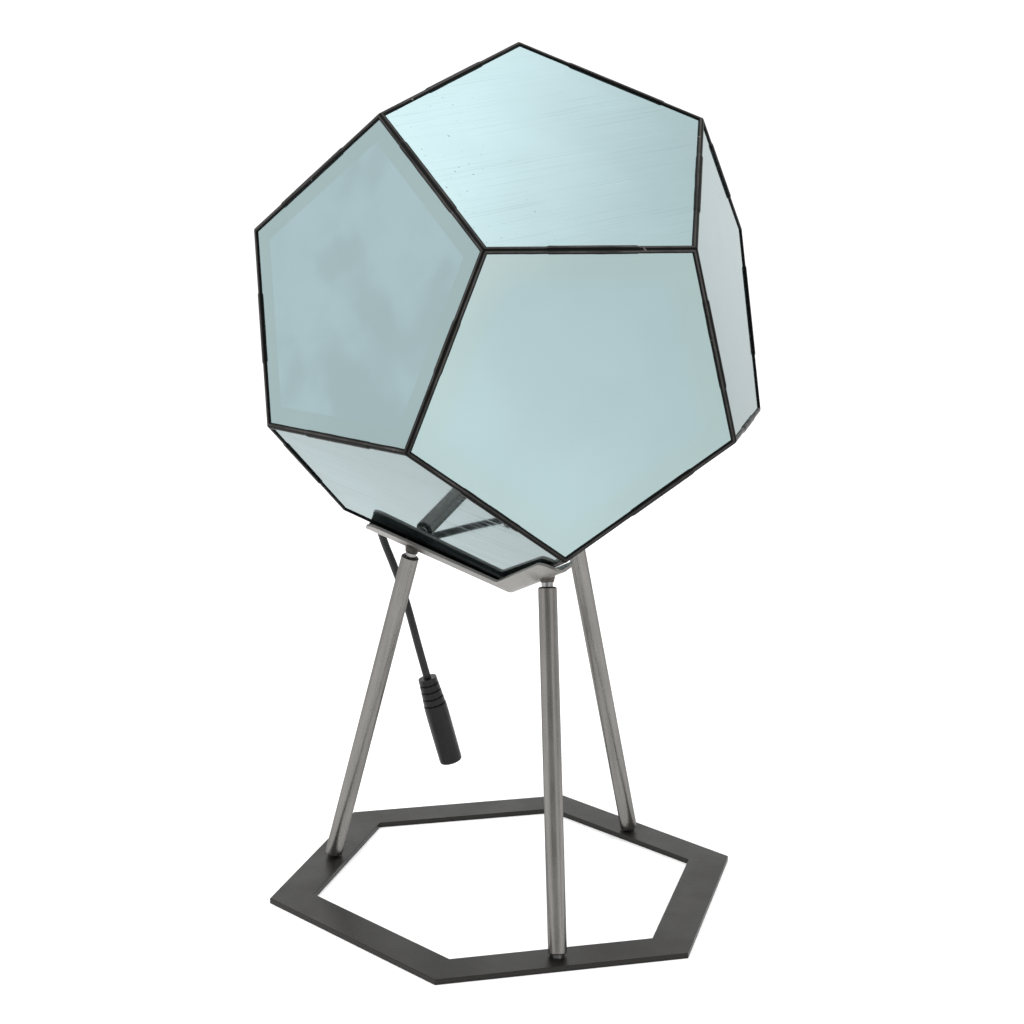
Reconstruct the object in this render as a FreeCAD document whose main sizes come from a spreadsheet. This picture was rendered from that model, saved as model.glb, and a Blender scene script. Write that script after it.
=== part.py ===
import FreeCAD, Part
import math
import os

import Sketcher
from FreeCAD import Placement, Rotation, Vector

# A mirrored glass globe, a dodecahedron standing on one corner, in a three-legged stand.
# Millimetres, +Z up, the origin under the centre of the base plate, which lies on z = 0.
# The legs stand at azimuths 30, 150 and 270 degrees, and the front is -Y.

doc = FreeCAD.newDocument("mirror_globe_light")
sheet = doc.addObject("Spreadsheet::Sheet", "dims")

DRIVING_SIZES = [
    # hexagonal base plate
    ("plate_radius", 109.0),
    ("plate_hole_radius", 89.0),
    ("plate_thick", 2.4),
    ("plate_edge_round", 0.3),
    # legs, and the studs in their ends
    ("leg_diameter", 8.0),
    ("leg_foot_radius", 84.9),
    ("leg_top_radius", 45.9),
    ("leg_top_height", 151.6),
    ("leg_foot_gap", 1.0),
    ("leg_end_chamfer", 0.6),
    ("stud_diameter", 5.0),
    ("stud_depth", 14.0),
    ("stud_floor", 1.0),
    ("leg_top_turn", 4.7),
    ("stud_rise", 3.6),
    ("weld_foot_radius", 2.8),
    ("weld_radius", 3.8),
    ("weld_height", 3.6),
    ("weld_start", 1.8),
    ("weld_gap", 0.2),
    # cradle
    ("cradle_turn", 3.2),
    ("cradle_gap", 1.62),
    ("cradle_thick", 1.2),
    ("arm_length", 71.2),
    ("arm_width", 9.0),
    ("arm_overlap", 2.0),
    ("arm_corner", 7.0),
    ("notch_round", 1.5),
    ("keel_round", 4.0),
    # globe
    ("globe_height", 140.1),
    ("globe_turn", 1.2),
    ("edge_length", 84.0),
    ("pane_thick", 3.0),
    # edge bars, corner joints and light strips
    ("cap_width", 1.75),
    ("cap_thick", 0.4),
    ("ridge_round", 0.5),
    ("web_half", 0.5),
    ("lip_width", 3.0),
    ("lip_thick", 1.2),
    ("joint_length", 3.2),
    ("strip_length", 60.0),
    ("strip_width", 4.4),
    ("strip_thick", 0.8),
    ("chip_size", 3.0),
    ("chip_thick", 1.0),
    ("chip_pitch", 15.0),
    ("chip_count", 4),
    # controller on the inner side of the lower back pane
    ("board_length", 26.0),
    ("board_width", 18.0),
    ("board_thick", 1.6),
    ("board_offset", 34.0),
    ("terminal_length", 10.0),
    ("terminal_width", 8.0),
    ("terminal_height", 8.0),
    ("inner_loop", 22.0),
    # power lead, its grommet and its connector
    ("lead_diameter", 3.6),
    ("grommet_wall", 1.2),
    ("grommet_flange", 9.0),
    ("grommet_lip", 1.2),
    ("connector_length", 43.4),
    ("connector_diameter", 11.1),
    ("connector_end_diameter", 10.7),
    ("connector_end_round", 1.0),
    ("boot_diameter", 8.8),
    ("boot_length", 13.6),
    ("boot_rings", 4),
    ("boot_groove", 0.8),
    ("boot_groove_depth", 0.6),
    ("shoulder_length", 21.0),
    ("socket_diameter", 6.4),
    ("socket_depth", 9.5),
    ("sleeve_wall", 0.3),
    ("sleeve_recess", 1.5),
    ("pin_recess", 1.0),
    ("pin_diameter", 2.1),
]

for row, (alias, size) in enumerate(DRIVING_SIZES, start=1):
    sheet.set("A%d" % row, alias)
    sheet.set("B%d" % row, str(size))
    sheet.setAlias("B%d" % row, alias)
doc.recompute()

SIZE = {alias: float(sheet.get(alias)) for alias, _ in DRIVING_SIZES}

UP = Vector(0, 0, 1)
LEG_AZIMUTHS = {"right": 30.0, "left": 150.0, "front": 270.0}
FLANK_AZIMUTHS = [90.0, 210.0, 330.0]
LOOSE_END = 20.0  # spare length of a cutting tool
WEDGE_REACH = 1.2  # how far an edge bar's mitre wedge goes, in globe sizes
BEND_SHARE = 0.45  # the part of a straight run that each bend of the lead takes

# ---- dodecahedron measures, from the golden ratio ----
GOLDEN = (1 + math.sqrt(5)) / 2
EDGE = SIZE["edge_length"]
CORNER_REACH = EDGE * GOLDEN * math.sqrt(3) / 2
EDGE_REACH = EDGE * GOLDEN ** 2 / 2
FACE_REACH = EDGE * GOLDEN ** 2 / (2 * math.sqrt(3 - GOLDEN))
FACE_SLOPE = math.atan(1 / GOLDEN)  # half the angle by which two faces turn at an edge
LOWER_FACE_TILT = math.acos(FACE_REACH / CORNER_REACH)  # the three lowest faces, to horizontal
LOWER_EDGE_RISE = math.acos(EDGE_REACH / CORNER_REACH)  # the three lowest edges, to horizontal
GLOBE_CENTRE = Vector(0, 0, SIZE["globe_height"] + CORNER_REACH)


# ---- small helpers ----
def bind(obj, **expressions):
    """Bind an object's properties to cells of the sheet."""
    for name, text in expressions.items():
        obj.setExpression(name, text)
    return obj


def turned(azimuth, radius, height=0.0):
    """A point in cylindrical coordinates, degrees and millimetres."""
    angle = math.radians(azimuth)
    return Vector(radius * math.cos(angle), radius * math.sin(angle), height)


def unit(vector):
    return Vector(vector).normalize()


def azimuth_of(point):
    return math.degrees(math.atan2(point.y, point.x))


def axes_rotation(x_dir, z_dir):
    """The rotation that takes +Z to z_dir, and +X as near to x_dir as it can."""
    z_axis = unit(z_dir)
    y_axis = unit(z_axis.cross(x_dir))
    return Rotation(y_axis.cross(z_axis), y_axis, z_axis, "ZXY")


def facing(point, direction):
    """A placement at a point, with +Z along a direction."""
    return Placement(point, axes_rotation(Vector(1, 0, 0), direction))


def cylinder(name, radius, height, place):
    tool = doc.addObject("Part::Cylinder", name)
    bind(tool, Radius=radius, Height=height)
    tool.Placement = place
    return tool


def box(name, length, width, height, place):
    """A box centred on its placement in X and Y, standing on it in Z."""
    block = doc.addObject("Part::Box", name)
    bind(block, Length=length, Width=width, Height=height)
    doc.recompute()
    half = Vector(-block.Length.Value / 2, -block.Width.Value / 2, 0)
    block.Placement = place.multiply(Placement(half, Rotation()))
    return block


def cut(name, base, tool):
    result = doc.addObject("Part::Cut", name)
    result.Base = base
    result.Tool = tool
    return result


def common(name, base, tool):
    result = doc.addObject("Part::Common", name)
    result.Base = base
    result.Tool = tool
    return result


def fuse(name, shapes):
    result = doc.addObject("Part::MultiFuse", name)
    result.Shapes = shapes
    return result


def group(name, members, place=Placement()):
    """Several solids as one node, or a placed copy of one solid."""
    result = doc.addObject("Part::Compound", name)
    result.Links = members
    result.Placement = place
    return result


def fillet(name, base, numbered_radii):
    result = doc.addObject("Part::Fillet", name)
    result.Base = base
    result.Edges = [(number, radius, radius) for number, radius in numbered_radii]
    return result


def draw(sketch, points, rounds=()):
    """A closed outline of straight lines; rounds maps a corner's index to its radius."""
    rounds = dict(rounds)
    arrivals, departures, arcs = [], [], []
    count = len(points)
    for i, corner in enumerate(points):
        back = unit(points[i - 1] - corner)
        ahead = unit(points[(i + 1) % count] - corner)
        radius = rounds.get(i, 0)
        half = back.getAngle(ahead) / 2
        reach = radius / math.tan(half)
        arrivals.append(corner + back * reach)
        departures.append(corner + ahead * reach)
        if radius:
            middle = corner + unit(back + ahead) * (radius / math.sin(half) - radius)
            arcs.append(Part.Arc(arrivals[-1], middle, departures[-1]))
    for i in range(count):
        sketch.addGeometry(Part.LineSegment(departures[i], arrivals[(i + 1) % count]), False)
    for arc in arcs:
        sketch.addGeometry(arc, False)


def outline(name, points, rounds=()):
    sketch = doc.addObject("Sketcher::SketchObject", name)
    draw(sketch, points, rounds)
    return sketch


def extrusion(name, profile, **lengths):
    solid = doc.addObject("Part::Extrusion", name)
    solid.Base = profile
    solid.DirMode = "Normal"
    solid.Solid = True
    return bind(solid, **lengths)


# ---- dodecahedron corners, faces and edges, in the globe's own pose ----
def globe_directions():
    """Unit corner and face directions: one corner straight down, three edges above the legs."""
    corners = [Vector(x, y, z) for x in (-1, 1) for y in (-1, 1) for z in (-1, 1)]
    faces = []
    for a in (-1, 1):
        for b in (-1, 1):
            corners.append(Vector(0, a / GOLDEN, b * GOLDEN))
            corners.append(Vector(a / GOLDEN, b * GOLDEN, 0))
            corners.append(Vector(b * GOLDEN, 0, a / GOLDEN))
            faces += [Vector(0, a * GOLDEN, b), Vector(a * GOLDEN, b, 0), Vector(b, 0, a * GOLDEN)]
    down = Rotation(Vector(1, 1, 1), -UP)
    near = down.multVec(Vector(0, 1 / GOLDEN, GOLDEN))
    swing = LEG_AZIMUTHS["front"] + SIZE["globe_turn"] - azimuth_of(near)
    pose = Rotation(UP, swing).multiply(down)
    turned_corners = [unit(pose.multVec(corner)) for corner in corners]
    return turned_corners, [unit(pose.multVec(face)) for face in faces]


CORNERS, FACES = globe_directions()


def neighbour(corner):
    """One of the three corners that share an edge with a corner."""
    others = [other for other in CORNERS if (other - corner).Length > 0.01]
    return max(others, key=corner.dot)


def edge_height(pair):
    middle = pair[0] + pair[1]
    return round(middle.z, 3), azimuth_of(middle)


def edges():
    """The thirty pairs of neighbouring corners, from the bottom up."""
    pairs = []
    for i, first in enumerate(CORNERS):
        for second in CORNERS[i + 1:]:
            if abs((first - second).Length * CORNER_REACH - EDGE) < 0.01:
                pairs.append((first, second))
    return sorted(pairs, key=edge_height)


def edge_place(first, second):
    """A frame at the globe's centre: +X along an edge, +Z out through the edge's middle."""
    return Placement(GLOBE_CENTRE, axes_rotation(second - first, first + second))


def pane_name(face):
    """A pane's plain name: its level, and the side that it faces."""
    level = ("bottom", "lower", "upper", "top")[sum(face.z > limit for limit in (-0.5, 0, 0.5))]
    azimuth = round(azimuth_of(face) - SIZE["globe_turn"]) % 360
    sides = {30: "right", 90: "back", 150: "left", 210: "left", 270: "front", 330: "right"}
    return "pane_%s_%s" % (level, sides[azimuth])


# ---- the stand ----
def leg_ends(azimuth):
    """Where a leg's axis meets the plate's top, and the middle of the leg's top end."""
    foot = turned(azimuth, SIZE["leg_foot_radius"], SIZE["plate_thick"])
    top = turned(azimuth + SIZE["leg_top_turn"], SIZE["leg_top_radius"], SIZE["leg_top_height"])
    return foot, top


def on_leg(azimuth, distance):
    """A placement on a leg's axis, +Z up the leg, at a distance from the plate's top."""
    foot, top = leg_ends(azimuth)
    lean = unit(top - foot)
    return Placement(foot + lean * distance, axes_rotation(turned(azimuth, 1), lean))


FOOT, TOP = leg_ends(LEG_AZIMUTHS["front"])
LEG_REACH = (TOP - FOOT).Length
LEG_LEAN = unit(TOP - FOOT).getAngle(UP)
STUD_BELOW = (SIZE["plate_thick"] - SIZE["stud_floor"]) / math.cos(LEG_LEAN)


def base_plate():
    """A flat hexagonal ring with a slanted hole for each leg's stud."""
    outer = doc.addObject("Part::Prism", "plate_outside")
    outer.Polygon = 6
    bind(outer, Circumradius="dims.plate_radius", Height="dims.plate_thick")
    inner = doc.addObject("Part::Prism", "plate_inside")
    inner.Polygon = 6
    bind(inner, Circumradius="dims.plate_hole_radius", Height="dims.plate_thick * 3")
    inner.Placement.Base = Vector(0, 0, -SIZE["plate_thick"])
    ring = cut("plate_ring", outer, inner)
    doc.recompute()
    top_edges = []
    for number, edge in enumerate(ring.Shape.Edges, start=1):
        if edge.BoundBox.ZMin > SIZE["plate_thick"] - 0.01:
            top_edges.append((number, SIZE["plate_edge_round"]))
    rounded = fillet("plate_rounded", ring, top_edges)
    holes = []
    for side, azimuth in LEG_AZIMUTHS.items():
        start = on_leg(azimuth, -LOOSE_END / 2)
        holes.append(cylinder("plate_hole_" + side, "dims.stud_diameter / 2", "%g" % LOOSE_END, start))
    return cut("base_plate", rounded, fuse("plate_holes", holes))


def circle_sketch(body, name, support, diameter):
    """A circle about the body's own axis, its diameter bound to the sheet."""
    sketch = body.newObject("Sketcher::SketchObject", name)
    sketch.AttachmentSupport = [support]
    sketch.MapMode = "FlatFace"
    sketch.addGeometry(Part.Circle(Vector(), UP, SIZE[diameter] / 2), False)
    sketch.addConstraint(Sketcher.Constraint("Coincident", 0, 3, -1, 1))
    sketch.addConstraint(Sketcher.Constraint("Diameter", 0, SIZE[diameter]))
    sketch.setExpression("Constraints[1]", "dims." + diameter)
    return sketch


def stud_pocket(body, name, support, away):
    pocket = body.newObject("PartDesign::Pocket", name)
    pocket.Profile = circle_sketch(body, name + "_circle", support, "stud_diameter")
    pocket.Reversed = away
    bind(pocket, Length="dims.stud_depth")
    doc.recompute()
    return pocket


def leg(side, azimuth):
    """A round bar, square at both ends, with a blind hole for a stud in each end."""
    body = doc.addObject("PartDesign::Body", "leg_" + side)
    floor = next(item for item in body.Origin.OriginFeatures if item.Role == "XY_Plane")
    bar = body.newObject("PartDesign::Pad", "bar_" + side)
    bar.Profile = circle_sketch(body, "bar_circle_" + side, (floor, ""), "leg_diameter")
    bar.Length = LEG_REACH - SIZE["leg_foot_gap"]
    doc.recompute()
    solid_volume = bar.Shape.Volume
    heights = [face.CenterOfMass.z for face in bar.Shape.Faces]
    top_face = "Face%d" % (heights.index(max(heights)) + 1)
    stud_pocket(body, "foot_pocket_" + side, (floor, ""), True)
    bored = stud_pocket(body, "top_pocket_" + side, (bar, top_face), False)
    holes_volume = 2 * math.pi * (SIZE["stud_diameter"] / 2) ** 2 * SIZE["stud_depth"]
    assert abs(solid_volume - bored.Shape.Volume - holes_volume) < 1, "both stud holes are cut"
    rims = []
    for number, edge in enumerate(bored.Shape.Edges, start=1):
        if isinstance(edge.Curve, Part.Circle) and edge.Curve.Radius > SIZE["stud_diameter"] / 2 + 0.1:
            rims.append("Edge%d" % number)
    chamfer = body.newObject("PartDesign::Chamfer", "chamfer_" + side)
    chamfer.Base = (bored, rims)
    bind(chamfer, Size="dims.leg_end_chamfer")
    body.Placement = on_leg(azimuth, SIZE["leg_foot_gap"])
    return body


def foot_studs():
    """Studs through the plate's slanted holes; they end inside the plate's thickness."""
    studs = []
    length = "dims.stud_depth + dims.leg_foot_gap + %.4f" % STUD_BELOW
    for side, azimuth in LEG_AZIMUTHS.items():
        start = on_leg(azimuth, -STUD_BELOW)
        studs.append(cylinder("foot_stud_" + side, "dims.stud_diameter / 2", length, start))
    return group("foot_studs", studs)


def cradle_studs(arms):
    """Studs out of the legs' top ends, each cut to the underside of its arm's keel."""
    studs = []
    length = "dims.stud_depth + dims.stud_rise"
    for side, azimuth in LEG_AZIMUTHS.items():
        start = on_leg(azimuth, LEG_REACH - SIZE["stud_depth"])
        stud = cylinder("stud_bar_" + side, "dims.stud_diameter / 2", length, start)
        studs.append(cut("cradle_stud_" + side, stud, arms))
    return group("cradle_studs", studs)


def stud_welds(arms):
    """A flared weld bead round each stud, up against the underside of its arm."""
    depth = SIZE["cradle_gap"] + SIZE["weld_gap"]
    sides = [half_space("weld_side_%d" % azimuth, azimuth, depth) for azimuth in FLANK_AZIMUTHS]
    outside = fuse("below_the_arms", sides)
    outside.Placement = Placement(UP * SIZE["globe_height"], Rotation(UP, SIZE["cradle_turn"]))
    welds = []
    for side, azimuth in LEG_AZIMUTHS.items():
        start = on_leg(azimuth, LEG_REACH + SIZE["weld_start"])
        bead = doc.addObject("Part::Cone", "bead_" + side)
        bind(bead, Radius1="dims.weld_foot_radius", Radius2="dims.weld_radius")
        bind(bead, Height="dims.weld_height")
        bead.Placement = start
        core = cylinder("bead_core_" + side, "dims.stud_diameter / 2", "dims.weld_height", start)
        ring = cut("bead_ring_" + side, bead, core)
        below = common("bead_below_" + side, ring, outside)
        welds.append(cut("weld_" + side, below, arms))
    return group("stud_welds", welds)


def flank_place(azimuth, depth):
    """A frame on one of the globe's lowest faces, moved out by depth.

    The globe's lowest corner is the origin, +X runs up the slope and +Z outwards.
    """
    outward = turned(azimuth, math.sin(LOWER_FACE_TILT), -math.cos(LOWER_FACE_TILT))
    uphill = turned(azimuth, math.cos(LOWER_FACE_TILT), math.sin(LOWER_FACE_TILT))
    return Placement(-UP * (depth / math.cos(LOWER_FACE_TILT)), axes_rotation(uphill, outward))


def half_space(name, azimuth, depth):
    """A big block that fills everything beyond a plane parallel to a lowest face."""
    side = "4 * dims.arm_length"
    return box(name, side, side, "%g" % LOOSE_END, flank_place(azimuth, depth))


def cradle():
    """Three arms of V section; each flank is parallel to one of the globe's lowest faces."""
    half_corner = math.radians(54)
    width, length, spare = SIZE["arm_width"], SIZE["arm_length"], SIZE["arm_overlap"]
    along = Vector(math.cos(half_corner), math.sin(half_corner), 0)
    across = Vector(math.sin(half_corner), -math.cos(half_corner), 0)
    one_side = [along * length - across * spare, along * length + across * width]
    other_side = [Vector(p.x, -p.y, 0) for p in reversed(one_side)]
    tip = Vector(-spare / math.sin(half_corner), 0, 0)
    notch = Vector(width / math.sin(half_corner), 0, 0)
    rounds = {2: SIZE["arm_corner"], 3: SIZE["notch_round"], 4: SIZE["arm_corner"]}
    flank = outline("flank_outline", [tip] + one_side + [notch] + other_side, rounds)
    flanks = []
    for azimuth in FLANK_AZIMUTHS:
        plate = extrusion("flank_%d" % azimuth, flank, LengthFwd="dims.cradle_thick")
        plate.Placement = flank_place(azimuth, SIZE["cradle_gap"])
        flanks.append(plate)
    outer_depth = SIZE["cradle_gap"] + SIZE["cradle_thick"]
    beyond = [half_space("beyond_%d" % azimuth, azimuth, outer_depth) for azimuth in FLANK_AZIMUTHS]
    sharp = cut("cradle_sharp", fuse("flanks", flanks), fuse("beyond_flanks", beyond))
    doc.recompute()
    arms = fillet("cradle", sharp, keel_folds(sharp.Shape))
    arms.Placement = Placement(UP * SIZE["globe_height"], Rotation(UP, SIZE["cradle_turn"]))
    return arms


def keel_folds(shape):
    """The long edges in the keels' upright planes, with the bend's outer or inner radius."""
    middle_depth = (SIZE["cradle_gap"] + SIZE["cradle_thick"] / 2) / math.cos(LOWER_FACE_TILT)
    folds = []
    for number, edge in enumerate(shape.Edges, start=1):
        if edge.Length < SIZE["arm_length"] * 0.8 or len(edge.Vertexes) != 2:
            continue
        low, high = sorted((vertex.Point for vertex in edge.Vertexes), key=lambda point: point.z)
        rise = (high - low).getAngle(UP)
        off_plane = (azimuth_of(high) - LEG_AZIMUTHS["right"] + 60) % 120 - 60
        if abs(off_plane) < 0.05 and abs(rise + LOWER_EDGE_RISE - math.pi / 2) < 0.01:
            inner = low.z > -middle_depth
            folds.append((number, SIZE["keel_round"] - (SIZE["cradle_thick"] if inner else 0)))
    assert len(folds) == 6, "three arms, each folded inside and outside"
    return folds


# ---- the globe ----
def in_face(depth):
    """How far inside the ideal edge line a bar's web begins, at a depth below the face."""
    return (SIZE["web_half"] + depth * math.sin(FACE_SLOPE)) / math.cos(FACE_SLOPE)


def panes(hole):
    """Twelve five-sided panes with mitred edges; the lower back one has the lead's hole."""
    pentagon = doc.addObject("Part::RegularPolygon", "pane_outline")
    pentagon.Polygon = 5
    apothem = EDGE / (2 * math.tan(math.pi / 5)) - in_face(SIZE["cap_thick"])
    pentagon.Circumradius = apothem / math.cos(math.pi / 5)
    made = []
    for face in FACES:
        name = pane_name(face)
        drilled = name == "pane_bottom_back"
        pane = extrusion(name + "_blank" if drilled else name, pentagon, LengthFwd="dims.pane_thick")
        pane.TaperAngle = -math.degrees(FACE_SLOPE)
        corner = max(CORNERS, key=lambda point: (round(point.dot(face), 6), point.z, point.x))
        start = GLOBE_CENTRE + face * (FACE_REACH - SIZE["cap_thick"])
        pane.Placement = Placement(start, axes_rotation(corner - face * corner.dot(face), -face))
        made.append(cut(name, pane, hole) if drilled else pane)
    return made


def bar_half_section():
    """Half of an edge bar's section from the ridge inwards: X is across, Y is outwards."""
    along = Vector(math.cos(FACE_SLOPE), -math.sin(FACE_SLOPE), 0)
    inward = Vector(-math.sin(FACE_SLOPE), -math.cos(FACE_SLOPE), 0)
    pane_low = SIZE["cap_thick"] + SIZE["pane_thick"]
    lip_low = pane_low + SIZE["lip_thick"]
    lip_end = in_face(pane_low) + SIZE["lip_width"]
    return [
        Vector(),
        along * SIZE["cap_width"],
        along * SIZE["cap_width"] + inward * SIZE["cap_thick"],
        along * in_face(SIZE["cap_thick"]) + inward * SIZE["cap_thick"],
        along * in_face(pane_low) + inward * pane_low,
        along * lip_end + inward * pane_low,
        along * lip_end + inward * lip_low,
    ]


BAR_FLOOR = EDGE_REACH + bar_half_section()[-1].y


def mitred_bar():
    """A bar along X through the middle of an edge, cut to its own share of the globe."""
    lift = Vector(0, EDGE_REACH, 0)
    half = bar_half_section()
    mirrored = [Vector(-point.x, point.y, 0) for point in reversed(half[1:])]
    points = [point + lift for point in half + mirrored]
    section = outline("bar_section", points, {0: SIZE["ridge_round"]})
    half_edge = "dims.edge_length / 2"
    long_bar = extrusion("bar_long", section, LengthFwd=half_edge, LengthRev=half_edge)
    long_bar.Placement.Rotation = Rotation(Vector(0, 1, 0), UP, Vector(1, 0, 0), "ZXY")
    return common("bar_mitred", long_bar, edge_share())


def edge_share():
    """The share of the globe that is nearest to one edge: a pyramid from the globe's centre."""
    start = Vector(-EDGE / 2, 0, EDGE_REACH) * WEDGE_REACH
    end = Vector(EDGE / 2, 0, EDGE_REACH) * WEDGE_REACH
    left = Vector(0, math.sin(FACE_SLOPE), math.cos(FACE_SLOPE)) * FACE_REACH * WEDGE_REACH
    right = Vector(left.x, -left.y, left.z)
    centre = Vector()
    triangles = [
        (centre, start, left), (centre, left, end), (centre, end, right), (centre, right, start),
        (start, end, left), (start, right, end),
    ]
    faces = [Part.Face(Part.makePolygon(list(corners) + [corners[0]])) for corners in triangles]
    share = doc.addObject("Part::Feature", "edge_share")
    share.Shape = Part.Solid(Part.Shell(faces))
    return share


def edge_bars(bar):
    """Thirty slotted bars that hold the panes' edges, each one short of its corners."""
    middle = box("bar_middle", "dims.edge_length - 2 * dims.joint_length", "dims.edge_length",
                 "dims.edge_length * 2", Placement())
    short_bar = common("bar_short", bar, middle)
    bars = []
    for number, (first, second) in enumerate(edges(), start=1):
        bars.append(group("edge_bar_%02d" % number, [short_bar], edge_place(first, second)))
    return bars


def corner_joints(bar):
    """Twenty three-armed corner pieces that join the bars' ends."""
    end = box("bar_end", "dims.joint_length", "dims.edge_length", "dims.edge_length * 2",
              Placement(Vector((SIZE["joint_length"] - EDGE) / 2, 0, 0), Rotation()))
    stub = common("bar_stub", bar, end)
    stubs = []
    for number in range(3):
        downhill = turned(120 * number, math.cos(LOWER_EDGE_RISE), -math.sin(LOWER_EDGE_RISE))
        outward = turned(120 * number, math.sin(LOWER_EDGE_RISE), math.cos(LOWER_EDGE_RISE))
        place = Placement(Vector(), axes_rotation(downhill, outward))
        stubs.append(group("stub_%d" % number, [stub], place))
    joint = fuse("corner_joint", stubs)
    joints = []
    for number, corner in enumerate(CORNERS, start=1):
        place = Placement(GLOBE_CENTRE, axes_rotation(neighbour(corner) - corner, corner))
        joints.append(group("corner_joint_%02d" % number, [joint], place))
    return group("corner_joints", joints)


def led_strips():
    """A short light strip on the inner side of every bar, its chips facing the centre."""
    tape_low = BAR_FLOOR - SIZE["strip_thick"]
    pieces = [box("tape", "dims.strip_length", "dims.strip_width", "dims.strip_thick",
                  Placement(UP * tape_low, Rotation()))]
    count = int(SIZE["chip_count"])
    for number in range(count):
        spot = Vector((number - (count - 1) / 2) * SIZE["chip_pitch"], 0, tape_low - SIZE["chip_thick"])
        pieces.append(box("chip_%d" % number, "dims.chip_size", "dims.chip_size", "dims.chip_thick",
                          Placement(spot, Rotation())))
    strip = fuse("led_strip", pieces)
    strips = []
    for number, (first, second) in enumerate(edges(), start=1):
        strips.append(group("led_strip_%02d" % number, [strip], edge_place(first, second)))
    return group("led_strips", strips)


# ---- the power lead ----
# It leaves the lower back pane square to the glass and hangs, pulled down by its connector.
BACK_FACE = next(face for face in FACES if pane_name(face) == "pane_bottom_back")


def on_back_pane(x, y):
    """The point of the lower back pane's outer side above (x, y)."""
    outer = SIZE["cap_thick"] / BACK_FACE.z
    slope = (x * BACK_FACE.x + y * BACK_FACE.y) / BACK_FACE.z
    return Vector(x, y, SIZE["globe_height"] - outer - slope)


EXIT = on_back_pane(-50.5, 44.0)
LEAD_START = EXIT + BACK_FACE * SIZE["grommet_lip"]
LEAD_ROUTE = [
    LEAD_START,
    LEAD_START + BACK_FACE * 8.5,
    Vector(-49.5, 52.9, 158.6),
    Vector(-46.7, 53.9, 149.8),
    Vector(-42.6, 53.0, 139.6),
    Vector(-38.7, 51.3, 128.2),
    Vector(-35.0, 49.2, 114.2),
    Vector(-31.3, 47.8, 99.2),
    Vector(-27.4, 47.4, 85.2),
]
PLUG_DIRECTION = unit(LEAD_ROUTE[-1] - LEAD_ROUTE[-2])


def rounded_path(points):
    """Straight runs joined by tangent arcs, each as large as its two runs allow."""
    pieces, radii = [], []
    here = points[0]
    for before, corner, after in zip(points, points[1:], points[2:]):
        back, ahead = before - corner, after - corner
        half_turn = (math.pi - back.getAngle(ahead)) / 2
        reach = BEND_SHARE * min(back.Length, ahead.Length)
        radii.append(reach / math.tan(half_turn))
        start, end = corner + unit(back) * reach, corner + unit(ahead) * reach
        sag = radii[-1] / math.cos(half_turn) - radii[-1]
        middle = corner + unit(unit(back) + unit(ahead)) * sag
        pieces += [Part.LineSegment(here, start).toShape(), Part.Arc(start, middle, end).toShape()]
        here = end
    pieces.append(Part.LineSegment(here, points[-1]).toShape())
    return Part.Wire(pieces), radii


def tube(name, points):
    """A round lead along a rounded path; its volume is compared with section times length."""
    path, radii = rounded_path(points)
    radius = SIZE["lead_diameter"] / 2
    ring = Part.makeCircle(radius, points[0], unit(points[1] - points[0]))
    solid = path.makePipeShell([Part.Wire([ring])], True, False)
    ratio = solid.Volume / (math.pi * radius ** 2 * path.Length)
    print(name, "length %.1f" % path.Length, "volume ratio %.4f" % ratio)
    print("  bend radii", ["%.0f" % bend for bend in radii])
    lead = doc.addObject("Part::Feature", name)
    lead.Shape = solid
    return lead


GROMMET_BACK = EXIT - BACK_FACE * (SIZE["pane_thick"] + SIZE["grommet_lip"])
GROMMET_RADIUS = "dims.lead_diameter / 2 + dims.grommet_wall"


def grommet():
    """A rubber bush in the pane's hole, with a flange on each side of the glass."""
    sleeve_length = "dims.pane_thick + 2 * dims.grommet_lip"
    back = facing(GROMMET_BACK, BACK_FACE)
    sleeve = cylinder("grommet_sleeve", GROMMET_RADIUS, sleeve_length, back)
    flanges = []
    for side, start in (("outer", EXIT), ("inner", GROMMET_BACK)):
        flanges.append(cylinder("grommet_" + side, "dims.grommet_flange / 2", "dims.grommet_lip",
                                facing(start, BACK_FACE)))
    bore = cylinder("grommet_bore", "dims.lead_diameter / 2", sleeve_length, back)
    return cut("grommet", fuse("grommet_blank", [sleeve] + flanges), bore)


def pane_hole():
    start = EXIT - BACK_FACE * (LOOSE_END / 2)
    return cylinder("pane_hole", GROMMET_RADIUS, "%g" % LOOSE_END, facing(start, BACK_FACE))


def board_frame():
    """A frame on the lower back pane's inner side, beside the grommet: +Z into the globe."""
    across = unit(BACK_FACE.cross(UP))
    if across.x < 0:
        across = -across
    start = EXIT - BACK_FACE * SIZE["pane_thick"] + across * SIZE["board_offset"]
    return Placement(start, axes_rotation(across, -BACK_FACE))


def controller():
    """A small driver board and the terminal block on it."""
    start = board_frame()
    board = box("controller_board", "dims.board_length", "dims.board_width", "dims.board_thick", start)
    above = start.multiply(Placement(UP * SIZE["board_thick"], Rotation()))
    block = box("terminal_block", "dims.terminal_length", "dims.terminal_width",
                "dims.terminal_height", above)
    return [board, block]


def inner_lead():
    """The lead's tail inside the globe: in through the grommet, then over to the terminals."""
    block_top = SIZE["board_thick"] + SIZE["terminal_height"]
    loop_top = block_top + SIZE["inner_loop"]
    over_grommet = EXIT - BACK_FACE * (SIZE["pane_thick"] + loop_top)
    over_block = board_frame().multVec(UP * loop_top)
    terminals = board_frame().multVec(UP * block_top)
    return tube("inner_lead", [LEAD_START, over_grommet, over_block, terminals])


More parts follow.
